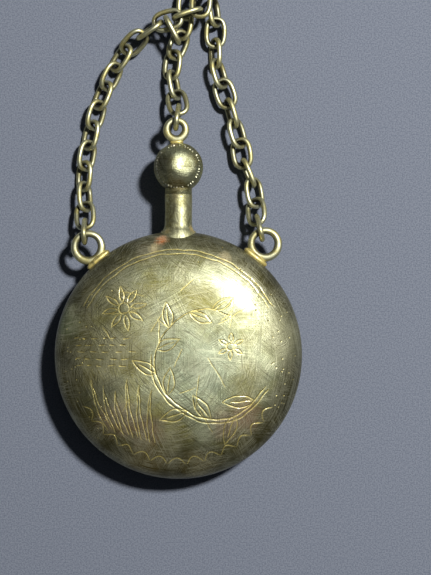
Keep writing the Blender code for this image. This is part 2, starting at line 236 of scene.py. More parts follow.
def buildTarnish():
    # clouds of tarnish with a fine grain, and small dark specks
    spread = {
        "cloud": (0.36, 0.66), "grain": (0.32, 0.68), "grainScale": 3.2,
        "specks": (0.08, 0.2), "speckScale": 1.5, "gate": (0.46, 0.58), "gateScale": 0.3,
    }
    inputs = [("Place", "Vector"), ("Size", "Float"), ("Seed", "Float")]
    tree, given, result = newGroup("tarnishClouds", inputs, ["Cloud", "Grain", "Specks"])
    shift = put(tree, "CombineXYZ", {0: given.outputs["Seed"]}).outputs[0]
    place = moved(tree, given.outputs["Place"], "ADD", shift)
    scale = calc(tree, "DIVIDE", 1.0, given.outputs["Size"])
    cloud = ramp(tree, noise(tree, place, scale, detail=6.0, rough=0.62), *spread["cloud"])
    grain = ramp(tree, noise(tree, place, spread["grainScale"], detail=4.0, rough=0.65), *spread["grain"])
    cells = put(tree, "TexVoronoi", {"Vector": place, "Scale": spread["speckScale"]}).outputs["Distance"]
    specks = ramp(tree, cells, *spread["specks"], 1.0, 0.0)
    gate = ramp(tree, noise(tree, place, spread["gateScale"]), *spread["gate"])
    specks = calc(tree, "MULTIPLY", specks, gate)
    for label, value in (("Cloud", cloud), ("Grain", grain), ("Specks", specks)):
        tree.links.new(value, result.inputs[label])
    return tree


hairlines = buildHairlines()
tarnish = buildTarnish()


def variant(look, leaveOut=(), **changes):
    # a look that starts from another one, with some values left out and some changed
    kept = {key: value for key, value in look.items() if key not in leaveOut}
    return {**kept, **changes}


ragged = {  # how the tarnish, the painted shade and the painted sheen break up at their edges
    "rimScale": 0.14, "rimShift": (2.0, 3.0), "streaks": (0.46, 0.64),
    "patchScale": 1.6, "patchSpread": 1.3, "patchFade": (0.9, 1.9),
}


def metalFinish(name, look):
    # one worn metal: two tints, darkening at the rim that is partly tarnish and partly painted shade,
    # streaks, patches of stain, painted shade and painted sheen, scratches, grain, specks and a mask (the
    # scribed lines' colour on the dome, painted shade on the wires, painted glints on the ball's beads)
    # a tarnish or patch ends with its crust, the share of it that is no longer bare metal
    finish = bpy.data.materials.new(name)
    finish.use_nodes = True
    tree = finish.node_tree
    shader = tree.nodes["Principled BSDF"]
    place = moved(tree, put(tree, "TexCoord").outputs["Object"], "MULTIPLY", (1 / mm,) * 3)
    sockets = {"Place": place, "Size": look["cloudSize"], "Seed": look["seed"]}
    clouds = put(tree, "Group", sockets, node_tree=tarnish)
    linePlace = moved(tree, place, "MULTIPLY", look.get("grainWay", (1, 1, 1)))
    lines = put(tree, "Group", {"Place": linePlace, "Amount": look["scratches"]}, node_tree=hairlines)
    cloud, grain = clouds.outputs["Cloud"], clouds.outputs["Grain"]
    bright, dark = lines.outputs["Bright"], lines.outputs["Dark"]

    def tinted(colour, share, tint):
        return blendColour(tree, share, colour, (*tint, 1))

    def part(value, share):
        return calc(tree, "MULTIPLY", value, share)

    colour = blendColour(tree, cloud, (*look["bright"], 1), (*look["dull"], 1))
    bare = calc(tree, "SUBTRACT", 1.0, part(cloud, look["cloudCrust"]))
    if "rim" in look:  # darkening towards the flask's edge, partly tarnish and partly painted shade, with a ragged inner side
        start, end, tint, share, crust = look["rim"]
        early, late = ragged["rimShift"]
        flat = moved(tree, place, "MULTIPLY", (1, 1, 0))
        reach = put(tree, "VectorMath", {0: flat}, operation="LENGTH").outputs["Value"]
        wander = part(noise(tree, place, ragged["rimScale"], detail=5.0, rough=0.6), end - start)
        edge = ramp(tree, calc(tree, "ADD", reach, wander), start + early, end + late, 0.0, share)
        colour = tinted(colour, edge, tint)
        bare = calc(tree, "SUBTRACT", bare, part(edge, crust))
    if "streaks" in look:
        squeeze, tint, share = look["streaks"]
        streak = noise(tree, moved(tree, place, "MULTIPLY", squeeze), 1.0, detail=3.0, rough=0.6)
        colour = tinted(colour, ramp(tree, streak, *ragged["streaks"], 0.0, share), tint)
    # patches: stains, and on the front dome also painted shade and painted sheen
    for centre, radius, tint, share, crust in look["patches"]:
        reach = put(tree, "VectorMath", {0: place, 1: centre}, operation="DISTANCE").outputs["Value"]
        wander = noise(tree, place, ragged["patchScale"] / radius, detail=5.0, rough=0.65)
        reach = calc(tree, "ADD", reach, part(wander, radius * ragged["patchSpread"]))
        near, far = (radius * fade for fade in ragged["patchFade"])
        patch = ramp(tree, reach, near, far, share, 0.0)
        colour = tinted(colour, patch, tint)
        bare = calc(tree, "SUBTRACT", bare, part(patch, crust))
    colour = tinted(colour, part(bright, look["scratchTint"]), look["scratch"])
    colour = tinted(colour, part(dark, look["scratchDark"]), look["dark"])
    colour = tinted(colour, part(grain, look["grain"]), look["dark"])
    colour = tinted(colour, part(clouds.outputs["Specks"], look["specks"]), look["dark"])
    rough = ramp(tree, cloud, 0.0, 1.0, *look["rough"])
    # the mask gives the scribed lines their colour on the dome, paints shade on the wires and paints glints
    # on the ball's beads
    if "mask" in look:
        mask = put(tree, "Attribute", attribute_name=look["mask"]).outputs["Fac"]
        colour = tinted(colour, part(mask, look["maskShare"]), look["maskTint"])
        rough = calc(tree, "ADD", rough, part(mask, look["maskRough"]))
    height = calc(tree, "SUBTRACT", part(grain, look["pitting"]), calc(tree, "MAXIMUM", bright, dark))
    bump = put(tree, "Bump", {"Height": height, "Distance": look["relief"] * mm, "Strength": 1.0})
    tree.links.new(colour, shader.inputs["Base Color"])
    tree.links.new(rough, shader.inputs["Roughness"])
    tree.links.new(bump.outputs[0], shader.inputs["Normal"])
    tree.links.new(calc(tree, "MAXIMUM", bare, 0.0), shader.inputs["Metallic"])
    coat, coatRough = look["polish"]
    shader.inputs["Coat Weight"].default_value = coat
    shader.inputs["Coat Roughness"].default_value = coatRough
    shader.inputs["Specular Tint"].default_value = (*look["edgeTint"], 1)
    return finish


# front dome: raised sheet with a generic scribed design cut into it
frontDome = {
    "cells": 480, "innerCells": 20, "sheet": 0.7, "edgeTurn": 0.0015,
    "dentSize": 13.0, "dentDepth": 0.03, "dentFade": 8, "dentSeed": 5,
}
scribing = {"width": 0.18, "widthShare": (0.55, 0.45), "depth": 0.13, "step": 0.06}
domeLook = {
    "bright": (0.48, 0.52, 0.33), "dull": (0.305, 0.285, 0.07), "dark": (0.04, 0.033, 0.012),
    "cloudSize": 9.0, "cloudCrust": 0.06, "seed": 3.0,
    "scratch": (0.84, 0.83, 0.59), "scratches": 1.0, "scratchTint": 0.5, "scratchDark": 0.55,
    "grain": 0.18, "specks": 0.8, "rough": (0.49, 0.57), "relief": 0.013, "pitting": 0.3,
    "polish": (0.5, 0.15), "edgeTint": (0.66, 0.60, 0.38),
    # the rim's darkening is partly tarnish and partly painted shade at the edge
    "rim": (17.0, 22.5, (0.072, 0.061, 0.013), 0.85, 0.15),  # start, end, tint, share, crust
    "mask": "scribed", "maskShare": 0.85, "maskTint": (0.76, 0.64, 0.21), "maskRough": -0.05,
    "patches": [  # centre, radius, tint, share, crust
        # painted shade: darker on the left, away from the key lamp, partly tarnish
        ((-15.0, 0.0, 13.5), 9.0, (0.213, 0.18, 0.057), 0.65, 0.1),
        ((-12.0, 11.0, 13.5), 6.5, (0.172, 0.156, 0.053), 0.65, 0.1),
        ((0.0, 20.0, 12.5), 6.0, (0.18, 0.189, 0.09), 0.6, 0.1),
        # painted shade: much darker at the bottom and lower right, away from the key lamp, partly tarnish
        ((0.0, -21.0, 11.5), 9.0, (0.05, 0.042, 0.009), 0.9, 0.1),
        ((14.5, -15.5, 12.0), 6.5, (0.098, 0.086, 0.025), 0.8, 0.1),
        # painted sheen: paler at the centre and on the right, where the key lamp's glow falls
        ((4.0, -2.0, 15.5), 9.0, (0.492, 0.59, 0.443), 0.6, 0.0),
        ((21.0, 4.0, 11.5), 6.5, (0.58, 0.58, 0.36), 0.75, 0.0),
        ((-12.0, -12.4, 13.6), 4.6, (0.279, 0.18, 0.107), 0.8, 0.2),
        ((-6.6, -14.6, 14.0), 4.6, (0.271, 0.176, 0.107), 0.85, 0.2),
        ((9.4, -13.4, 14.0), 3.6, (0.361, 0.254, 0.16), 0.85, 0.2),
        ((13.4, -11.2, 13.6), 3.8, (0.361, 0.246, 0.156), 0.85, 0.2),
        ((-6.5, -20.6, 12.0), 6.0, (0.156, 0.115, 0.025), 0.75, 0.3),
        ((4.5, -21.8, 11.5), 4.5, (0.172, 0.131, 0.029), 0.65, 0.3),
        ((-22.3, 6.5, 11.5), 4.2, (0.18, 0.238, 0.123), 0.7, 0.4),
        ((-6.4, 20.8, 12.2), 2.6, (0.131, 0.098, 0.057), 0.6, 0.4),
        ((-4.6, 21.4, 12.3), 1.3, (0.64, 0.492, 0.23), 0.85, 0.6),
        ((9.4, 19.8, 12.6), 1.5, (0.59, 0.476, 0.246), 0.75, 0.6),
        ((-3.3, 23.3, 11.3), 1.5, (0.476, 0.139, 0.033), 0.95, 0.95),
    ],
}


def smoothLine(points, step):
    points = [np.asarray(p, float) for p in points]
    ends = [2 * points[0] - points[1]] + points + [2 * points[-1] - points[-2]]
    run = []
    for a, b, c, d in zip(ends, ends[1:], ends[2:], ends[3:]):
        t = np.linspace(0, 1, max(3, int(np.linalg.norm(c - b) / step)), endpoint=False)[:, None]
        run.append(
            0.5 * (2 * b + (c - a) * t + (2 * a - 5 * b + 4 * c - d) * t**2 + (3 * b - a - 3 * c + d) * t**3)
        )
    return np.concatenate(run + [points[-1][None]])


def sidesOf(line):
    ahead = np.gradient(line, axis=0)
    ahead /= np.linalg.norm(ahead, axis=1)[:, None]
    return np.stack([-ahead[:, 1], ahead[:, 0]], 1)


leafShape = {"points": 60, "bow": 0.85, "midrib": (4, 44)}


def leaf(base, way, length, belly):
    # an outline of two bowed sides and a short midrib
    t = np.linspace(0, 1, leafShape["points"])[:, None]
    side = np.array([-way[1], way[0]])
    spine = base + way * length * t
    bow = belly * np.sin(pi * t ** leafShape["bow"]) * side
    return [spine + bow, spine - bow, spine[slice(*leafShape["midrib"])]]


rosetteShape = {"eye": 0.24, "gap": 0.3, "petalLength": 0.7, "petalBelly": 0.9}  # shares of the radius


def rosette(centre, radius, petals, turn):
    # a round eye with petals about it
    around = np.linspace(0, 2 * pi, 60)
    strokes = [centre + rosetteShape["eye"] * radius * np.stack([np.cos(around), np.sin(around)], 1)]
    for k in range(petals):
        angle = turn + 2 * pi * k / petals
        way = np.array([cos(angle), sin(angle)])
        foot = centre + rosetteShape["gap"] * radius * way
        belly = rosetteShape["petalBelly"] * radius / petals
        strokes += leaf(foot, way, rosetteShape["petalLength"] * radius, belly)[:2]
    return strokes


def arcLine(radius, start, end, step=0.08):
    angles = np.radians(np.linspace(start, end, int(radius * abs(end - start) * pi / 180 / step)))
    return radius * np.stack([np.cos(angles), np.sin(angles)], 1)


reedShape = {"points": 90, "bend": 0.75, "half": 0.55, "taper": 1.6}


def reed(base, tip, bow):
    # a tall blade: two bowed sides that meet at the tip
    base, tip = np.array(base), np.array(tip)
    side = np.array([base[1] - tip[1], tip[0] - base[0]]) / np.linalg.norm(tip - base)
    t = np.linspace(0, 1, reedShape["points"])[:, None]
    spine = base + (tip - base) * t + side * bow * np.sin(pi * t * reedShape["bend"])
    half = reedShape["half"] * (1 - t ** reedShape["taper"]) * side
    return [spine + half, spine - half]


# the scribed design in plan, in mm; leafLean, span, first, step and half are in degrees
# firm says how hard each kind of line was cut
spray = {
    "vine": [
        (17.5, -6.0), (12.0, -11.5), (4.5, -12.0), (-2.5, -7.0),
        (-4.5, 0.0), (-1.0, 6.5), (5.0, 9.5), (10.5, 8.0),
    ],
    "firm": 1.0, "beside": 0.75, "besideShare": 0.62, "besideFirm": 0.8,
    "leaves": 10, "leafSpan": (0.07, 0.93), "leafLean": 48, "leafFirm": 0.9,
    "leafLength": (6.4, 2.0), "leafBelly": (1.25, 0.3),  # at the vine's start, and how much less at its end
}
rosettes = [
    {"centre": (-10.5, 9.5), "radius": 4.4, "petals": 8, "turn": 0.2, "firm": 0.9},  # turn in radians
    {"centre": (10.5, 2.0), "radius": 2.7, "petals": 6, "turn": 0.5, "firm": 0.8},
]
reeds = {
    "count": 6, "foot": (-13.5, -14.5), "footStep": (1.7, -0.5), "bow": 0.9, "firm": 0.85,
    "tip": (-16.5, -4.5), "tipStep": (2.4, -1.1), "tipTurns": 3,
}
border = {"radii": (20.4, 21.2), "span": (28, 152), "firm": 0.7}
scallops = {"count": 13, "first": 212, "step": 9.6, "half": 4.4, "radius": 21.4, "rise": 1.3, "firm": 0.9}
dashes = {
    "rows": 5, "top": 3.6, "rowStep": 1.35, "left": -20.6, "stagger": 1.0, "right": -9.0, "narrowing": 0.25,
    "length": (0.7, 1.5), "slope": 0.12, "gap": (0.7, 1.6), "firm": 0.9,
}
strays = {"count": 16, "reach": 15, "length": (2.5, 7.0), "firm": 0.45}


def sprayStrokes():
    vine = smoothLine(spray["vine"], scribing["step"])
    second = (vine + spray["beside"] * sidesOf(vine))[: int(spray["besideShare"] * len(vine))]
    strokes = [(vine, spray["firm"]), (second, spray["besideFirm"])]
    ahead = np.gradient(vine, axis=0)
    for k, share in enumerate(np.linspace(*spray["leafSpan"], spray["leaves"])):
        at = int(share * (len(vine) - 1))
        lean = radians(spray["leafLean"]) * (1 if k % 2 else -1)
        x, y = ahead[at] / np.linalg.norm(ahead[at])
        way = np.array([x * cos(lean) - y * sin(lean), x * sin(lean) + y * cos(lean)])
        length, belly = (full - less * share for full, less in (spray["leafLength"], spray["leafBelly"]))
        strokes += [(s, spray["leafFirm"]) for s in leaf(vine[at], way, length, belly)]
    return strokes


def reedStrokes():
    strokes = []
    for k in range(reeds["count"]):
        foot = [start + k * step for start, step in zip(reeds["foot"], reeds["footStep"])]
        steps = (k, k % reeds["tipTurns"])  # the tips stand at three heights in turn
        tip = [start + n * step for start, n, step in zip(reeds["tip"], steps, reeds["tipStep"])]
        strokes += [(s, reeds["firm"]) for s in reed(foot, tip, reeds["bow"])]
    return strokes


def edgeStrokes():
    strokes = [(arcLine(radius, *border["span"]), border["firm"]) for radius in border["radii"]]
    bow = np.radians(np.linspace(-scallops["half"], scallops["half"], 40))
    lift = scallops["radius"] - scallops["rise"] * np.cos(bow / np.radians(scallops["half"]) * pi / 2)
    for k in range(scallops["count"]):
        angle = np.radians(scallops["first"] + k * scallops["step"]) + bow
        strokes.append((lift[:, None] * np.stack([np.cos(angle), np.sin(angle)], 1), scallops["firm"]))
    return strokes


def dashStrokes(dice):
    strokes = []
    t = np.linspace(0, 1, 24)[:, None]
    for row in range(dashes["rows"]):
        y = dashes["top"] - dashes["rowStep"] * row
        x = dashes["left"] + dice.uniform(0, dashes["stagger"])
        while x < dashes["right"] - dashes["narrowing"] * row:
            long = dice.uniform(*dashes["length"])
            slope = dice.uniform(-dashes["slope"], dashes["slope"])
            strokes.append((np.array([x, y]) + t * np.array([long, slope]), dashes["firm"]))
            x += long + dice.uniform(*dashes["gap"])
    return strokes


def strayStrokes(dice):
    # single scratches, deeper than the polishing lines
    strokes = []
    t = np.linspace(0, 1, 80)[:, None]
    for _ in range(strays["count"]):
        start = dice.uniform(-strays["reach"], strays["reach"], 2)
        turn, long = dice.uniform(0, pi), dice.uniform(*strays["length"])
        strokes.append((start + t * long * np.array([cos(turn), sin(turn)]), strays["firm"]))
    return strokes


def scribedStrokes():
    # all lines in plan, each with how firmly it was cut
    dice = np.random.RandomState(21)
    strokes = sprayStrokes()
    for flower in rosettes:
        lines = rosette(np.array(flower["centre"]), flower["radius"], flower["petals"], flower["turn"])
        strokes += [(line, flower["firm"]) for line in lines]
    return strokes + reedStrokes() + edgeStrokes() + dashStrokes(dice) + strayStrokes(dice)


hand = {
    "waves": (2.3, 3.9, 6.5), "wobble": 0.13, "wobbleLength": 13, "press": 0.82, "pressSwing": 0.09,
    "pressWave": 0.7, "easeLength": 0.9, "easeShare": 0.3, "ease": (0.35, 0.65),
}


def handCut(line, firm, dice):
    # a hand's wobble, and a pressure that eases in and out along the cut
    step = np.concatenate([[0], np.cumsum(np.linalg.norm(np.diff(line, axis=0), axis=1))])
    waver, press = np.zeros(len(line)), np.full(len(line), hand["press"])
    for size in hand["waves"]:
        swing = np.sin(2 * pi * step / size + dice.uniform(0, 2 * pi))
        waver += swing * hand["wobble"] * size / hand["wobbleLength"]
        swing = np.sin(2 * pi * step / (hand["pressWave"] * size) + dice.uniform(0, 2 * pi))
        press += hand["pressSwing"] * swing
    easing = min(hand["easeLength"], hand["easeShare"] * step[-1])
    ease = np.clip(np.minimum(step, step[-1] - step) / easing, 0, 1)
    light, rest = hand["ease"]
    return line + waver[:, None] * sidesOf(line), firm * press * (light + rest * ease)


pits = {
    "runs": ((2.5, 3.9, 22), (-0.5, 0.6, 26), (0, 2 * pi, 16)),  # from and to an angle in radians, and count
    "band": (0.72, 0.94), "width": 0.19, "depth": 0.15,
}


def punchedPits():
    dice = np.random.RandomState(8)
    angles = np.concatenate([dice.uniform(*run) for run in pits["runs"]])
    radii = flaskRadius * dice.uniform(*pits["band"], len(angles))
    return np.stack([radii * np.cos(angles), radii * np.sin(angles)], 1)


def discGrid(cells):
    # a square grid drawn onto a disc without a pole: share of the radius, direction, quads and rim order
    side = np.linspace(-1, 1, cells + 1)
    a, b = (v.ravel() for v in np.meshgrid(side, side))
    wide = np.abs(a) > np.abs(b)
    big, small = np.where(wide, a, b), np.where(wide, b, a)
    ratio = np.divide(small, big, out=np.zeros_like(big), where=big != 0)
    turn = np.where(wide, pi / 4 * ratio, pi / 2 - pi / 4 * ratio)
    way = np.stack([np.cos(turn), np.sin(turn)], 1) * np.sign(big)[:, None]
    index = np.arange((cells + 1) ** 2).reshape(cells + 1, cells + 1)
    quads = np.stack([index[:-1, :-1], index[:-1, 1:], index[1:, 1:], index[1:, :-1]], -1).reshape(-1, 4)
    rim = np.concatenate([index[0, :-1], index[:-1, -1], index[-1, :0:-1], index[:0:-1, 0]])
    return np.abs(big), way, quads, rim


def domePoints(share, way, radius, rise, edgeTurn):
    # even steps along the dome's curve, a fuller one than an ellipse; the turn is counted from the top
    turns = np.linspace(0, pi / 2 - edgeTurn, 4000)
    r, z = radius * np.sin(turns) ** (2 / domeFullness), rise * np.cos(turns) ** (2 / domeFullness)
    length = np.concatenate([[0], np.cumsum(np.hypot(np.diff(r), np.diff(z)))])
    r, z = np.interp(share * length[-1], length, r), np.interp(share * length[-1], length, z)
    points = np.concatenate([r[:, None] * way, z[:, None]], 1)
    steep = (r / radius) ** (domeFullness - 1) / radius, (z / rise) ** (domeFullness - 1) / rise
    normals = np.concatenate([steep[0][:, None] * way, steep[1][:, None]], 1)
    return points, normals / np.linalg.norm(normals, axis=1)[:, None]


def onDome(flat):
    share = np.minimum(1, np.linalg.norm(flat, axis=1) / flaskRadius)
    return np.concatenate([flat, (domeRise * (1 - share**domeFullness) ** (1 / domeFullness))[:, None]], 1)


def closeShell(outer, outerQuads, outerRim, inner, innerQuads, innerRim, flip):
    # joins the fine outer grid and the coarse inner one along the flat seam edge
    points = np.concatenate([outer, inner])
    start = len(outer)
    faces = [tuple(q) for q in outerQuads.tolist()]
    faces += [tuple(reversed(q)) for q in (innerQuads + start).tolist()]
    per = len(outerRim) // len(innerRim)
    for k in range(len(innerRim)):
        steps = [int(outerRim[(k * per + i) % len(outerRim)]) for i in range(per + 1)]
        nextInner = int(innerRim[(k + 1) % len(innerRim)]) + start
        faces.append(tuple([int(innerRim[k]) + start, nextInner] + steps[::-1]))
    return points, [f[::-1] for f in faces] if flip else faces


def scribe(points):
    # depth and mask of the scribed lines and pits at each point of the dome
    dice = np.random.RandomState(4)
    cuts = [handCut(line, firm, dice) for line, firm in scribedStrokes()]
    marks = punchedPits()
    samples = onDome(np.concatenate([line for line, _ in cuts] + [marks]))
    firm = np.concatenate([press for _, press in cuts])
    thin, thick = scribing["widthShare"]
    widths = np.concatenate([scribing["width"] * (thin + thick * firm), np.full(len(marks), pits["width"])])
    depths = np.concatenate([scribing["depth"] * firm, np.full(len(marks), pits["depth"])])
    tree = kdtree.KDTree(len(samples))
    for k, sample in enumerate(samples):
        tree.insert(sample, k)
    tree.balance()
    depth, mask = np.zeros(len(points)), np.zeros(len(points))
    for k, point in enumerate(points):
        _, near, far = tree.find(point)
        if far < widths[near]:
            mask[k] = 0.5 + 0.5 * cos(pi * far / widths[near])
            depth[k] = depths[near] * mask[k]
    return depth, mask


def dentedDome(dome):
    share, way, quads, rim = discGrid(dome["cells"])
    points, normals = domePoints(share, way, flaskRadius, domeRise, dome["edgeTurn"])
    fade = 1 - share ** dome["dentFade"]  # no dents at the seam
    dents = dome["dentDepth"] * fade * rolling(points, dome["dentSize"], dome["dentSeed"])
    return points, normals, dents, quads, rim


def domeLining(dome):
    sheet = dome["sheet"]
    share, way, quads, rim = discGrid(dome["innerCells"])
    points, _ = domePoints(share, way, flaskRadius - sheet, domeRise - sheet, dome["edgeTurn"])
    return points, quads, rim


def buildFrontDome():
    points, normals, dents, quads, rim = dentedDome(frontDome)
    depth, mask = scribe(points)
    points += normals * (dents - depth)[:, None]
    inner, innerQuads, innerRim = domeLining(frontDome)
    points, faces = closeShell(points, quads, rim, inner, innerQuads, innerRim, False)
    points[:, 2] += seamHeight
    finish = metalFinish("scribedSilver", domeLook)
    piece = addPiece("front_dome_shell", points, faces, "flask", "front_dome", finish)
    storeMask(piece, "scribed", np.concatenate([mask, np.zeros(len(inner))]))
    print("front dome:", len(points), "points")


buildFrontDome()

# back dome: plain raised sheet, worn flat where it rests
backDome = {
    "cells": 140, "innerCells": 20, "sheet": 0.7, "restSheet": 0.5, "edgeTurn": 0.0015,
    "dentSize": 12.0, "dentDepth": 0.03, "dentFade": 8, "dentSeed": 9,
}
backLook = variant(domeLook, leaveOut=("mask",), seed=41.0, cloudSize=9.0, patches=[], grain=0.25)


def buildBackDome():
    # raised upwards like the front one, then turned over
    points, normals, dents, quads, rim = dentedDome(backDome)
    points += normals * dents[:, None]
    flat = seamHeight - restHeight
    points[:, 2] = np.minimum(points[:, 2], flat)
    inner, innerQuads, innerRim = domeLining(backDome)
    inner[:, 2] = np.minimum(inner[:, 2], flat - backDome["restSheet"] * backDome["sheet"])
    points, faces = closeShell(points, quads, rim, inner, innerQuads, innerRim, True)
    points[:, 2] = seamHeight - points[:, 2]
    finish = metalFinish("backSilver", backLook)
    addPiece("back_dome_shell", points, faces, "flask", "back_dome", finish)
    print("back dome:", len(points), "points")


buildBackDome()

# neck tube: drawn tube on a spread foot that follows the dome
_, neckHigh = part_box("neck_tube")
neck = {
    "radius": 2.75, "bore": 2.35, "foot": 3.4, "turns": 112,
    "dentSize": 5.0, "dentDepth": 0.04, "dentSeed": 3,
    "skirt": ((0.35, 2.2), (0.1, 0.6)),  # beyond the foot's radius, and below the flask's rim
    "sunk": 2.2, "bite": 0.25, "footEdge": 0.1, "footSlope": 0.4,
    "spread": 1.9, "spreadStart": 0.1, "spreadCurve": 2.4, "spreadRows": 8,
    "straight": (2.4, 1.2), "straightRows": 10,  # from above the rim to below the top
    "topRows": (1.0, 0.75, 0.03), "topEdge": 0.03, "mouth": (0.05, 0.08),
}
neckLook = variant(
    domeLook, leaveOut=("mask", "rim"), seed=12.0, cloudSize=5.0, grainWay=(1.0, 0.25, 1.0),
    bright=(0.88, 0.89, 0.57), dull=(0.38, 0.345, 0.105), rough=(0.50, 0.58), scratches=0.7,
    streaks=((1.5, 0.10, 1.5), (0.12, 0.10, 0.035), 0.5), polish=(0.35, 0.15),
    patches=[
        ((2.8, 25.4, seamHeight + 1.6), 1.0, (0.70, 0.48, 0.12), 0.9, 0.6),
        ((-2.2, 24.8, seamHeight + 2.2), 0.9, (0.50, 0.36, 0.13), 0.7, 0.5),
        ((-0.5, 32.3, seamHeight + 2.6), 1.2, (0.26, 0.20, 0.08), 0.6, 0.4),
    ],
)


def neckProfile():
    r, bore, foot = neck["radius"], neck["bore"], neck["foot"]
    rim, top = flaskRadius, neckHigh.y / mm
    outer = [(foot + beyond, rim - below) for beyond, below in neck["skirt"]]
    for t in np.linspace(neck["spreadStart"], 1, neck["spreadRows"]):
        flare = (foot - r) * (1 - t) ** neck["spreadCurve"]
        outer.append((r + flare, rim - neck["footEdge"] + neck["spread"] * t))
    above, below = neck["straight"]
    outer += [(r, y) for y in np.linspace(rim + above, top - below, neck["straightRows"])]
    outer += [(r, top - drop) for drop in neck["topRows"]] + [(r - neck["topEdge"], top)]
    wider, deep = neck["mouth"]
    return outer + [(bore + wider, top), (bore, top - deep), (bore, rim), (bore, rim - neck["sunk"])]


def buildNeck():
    rim = flaskRadius
    points, faces = lathe(neckProfile(), neck["turns"], True)
    low = points[:, 1] < rim - neck["footEdge"]  # the foot's edge settles on the dome
    level = rim * (1 - np.minimum(1, np.abs(points[:, 2] / domeRise)) ** domeFullness) ** (1 / domeFullness)
    onTop = np.sqrt(np.maximum(0.0, level**2 - points[:, 0] ** 2)) - neck["bite"]
    height = np.maximum(0, points[low, 1] - rim + neck["sunk"])
    points[low, 1] = onTop[low] + height * neck["footSlope"]
    swell = neck["dentDepth"] * rolling(points, neck["dentSize"], neck["dentSeed"])
    points[:, [0, 2]] *= (1 + swell / neck["radius"])[:, None]
    points[:, 2] += seamHeight
    finish = metalFinish("neckSilver", neckLook)
    addPiece("neck_tube_drawn", points, faces, "flask", "neck_tube", finish)
    print("neck:", len(points), "points")


buildNeck()

# ball stopper: two raised bowls with a ring of tiny beads, and a plug
_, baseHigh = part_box("stopper_ball_base")
plugLow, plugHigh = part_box("stopper_plug")
ball = {
    "sheet": 0.6, "turns": 320, "steps": 84, "liningSteps": 8, "gap": 0.004, "pole": 0.03, "hole": 1.15,
    "dentSize": 3.0, "dentDepth": 0.05, "dentSeed": 14,
    "wornWay": (0.315, 0.123, 0.94), "wornReach": 0.62, "wornDepth": 0.36,
}
beadLine = {"reach": 0.85, "beads": 46, "sizes": (0.6, 1.0), "width": 0.32, "height": 0.3, "gaps": 0.2}
ballRadius = capHigh.x / mm
ballHeight = (capLow.y + baseHigh.y) / 2 / mm
ballLook = variant(
    domeLook, leaveOut=("rim",), seed=27.0, cloudSize=3.5,
    bright=(0.56, 0.59, 0.37), dull=(0.22, 0.196, 0.05),
    rough=(0.46, 0.54), relief=0.016, pitting=1.4, scratches=0.7, scratchTint=0.5, scratchDark=0.6,
    # the beads are painted with a near-white glint
    polish=(0.25, 0.15), mask="beadsWithPaintedGlints", maskShare=0.9, maskTint=(0.98, 0.96, 0.76), maskRough=-0.28,
    patches=[
        # painted shade: the ball's left side much darker, away from the key lamp
        ((-3.4, ballHeight + 0.4, seamHeight + 3.2), 3.3, (0.03, 0.032, 0.012), 0.9, 0.1),
        ((0.0, ballHeight - 3.6, seamHeight + 3.4), 2.2, (0.16, 0.115, 0.03), 0.8, 0.2),
        ((-0.9, ballHeight + 4.3, seamHeight + 2.2), 0.9, (0.45, 0.20, 0.09), 0.7, 0.5),
    ],
)
ballFinish = metalFinish("ballSilver", ballLook)


def beadMask(points):
    # height share of the bead line at points round the ball's centre
    dice = np.random.RandomState(17)
    beads = beadLine["beads"]
    sizes = dice.uniform(*beadLine["sizes"], beads) * (dice.uniform(0, 1, beads) > beadLine["gaps"])
    turn = np.arctan2(points[:, 1], points[:, 0]) / (2 * pi) * beads
    nearest = np.round(turn).astype(int)
    along = (turn - nearest) * 2 * pi * (beadLine["reach"] * ballRadius) / beads
    slope = np.arccos(np.clip(points[:, 2] / np.linalg.norm(points, axis=1), -1, 1))
    across = (slope - np.arcsin(beadLine["reach"])) * ballRadius
    size = sizes[nearest % beads]
    near = 1 - (along**2 + across**2) / (beadLine["width"] * np.maximum(size, 0.01)) ** 2
    return size * np.sqrt(np.clip(near, 0, 1))


def buildBowl(name, node, sign, first):
    # a bowl from the radius of its opening to the ball's seam; sign 1 is the bowl away from the neck
    inner = ballRadius - ball["sheet"]
    wornWay = np.array(ball["wornWay"]) / np.linalg.norm(ball["wornWay"])
    turns = np.linspace(first / ballRadius, pi / 2 - ball["gap"] / ballRadius, ball["steps"])
    outside = [(ballRadius * sin(t), sign * ballRadius * cos(t)) for t in turns]
    liningTurns = np.linspace(turns[-1], turns[0], ball["liningSteps"])
    lining = [(inner * sin(t), sign * max(inner * cos(t), ball["gap"])) for t in liningTurns]
    points, faces = lathe(outside + lining, ball["turns"], True)
    dents = rolling(points, ball["dentSize"], ball["dentSeed"])
    points *= (1 + ball["dentDepth"] / ballRadius * dents)[:, None]
    facing = np.clip(points @ wornWay / np.linalg.norm(points, axis=1), -1, 1)
    away = np.arccos(facing) / ball["wornReach"]
    points *= (1 - ball["wornDepth"] / ballRadius * np.clip(1 - away**2, 0, 1) ** 2)[:, None]
    beads = beadMask(points) * (np.arange(len(points)) < len(outside) * ball["turns"])
    points *= (1 + beadLine["height"] / ballRadius * beads)[:, None]
    points += (0, ballHeight, seamHeight)
    if sign > 0:
        faces = [f[::-1] for f in faces]
    piece = addPiece(name, points, faces, "stopper", node, ballFinish)
    storeMask(piece, "beadsWithPaintedGlints", beads)


plug = {
    "nose": ((0.4, 0.0), (0.15, 0.1), (0.05, 0.5)),  # in from the radius, and up from the end
    "play": 0.05,
    "collar": 0.5, "collarGap": 0.03, "collarEdge": 0.03, "seatGap": 0.03, "seatRows": 7,
    "tang": 1.0, "tangEdge": 0.1, "turns": 64,
}


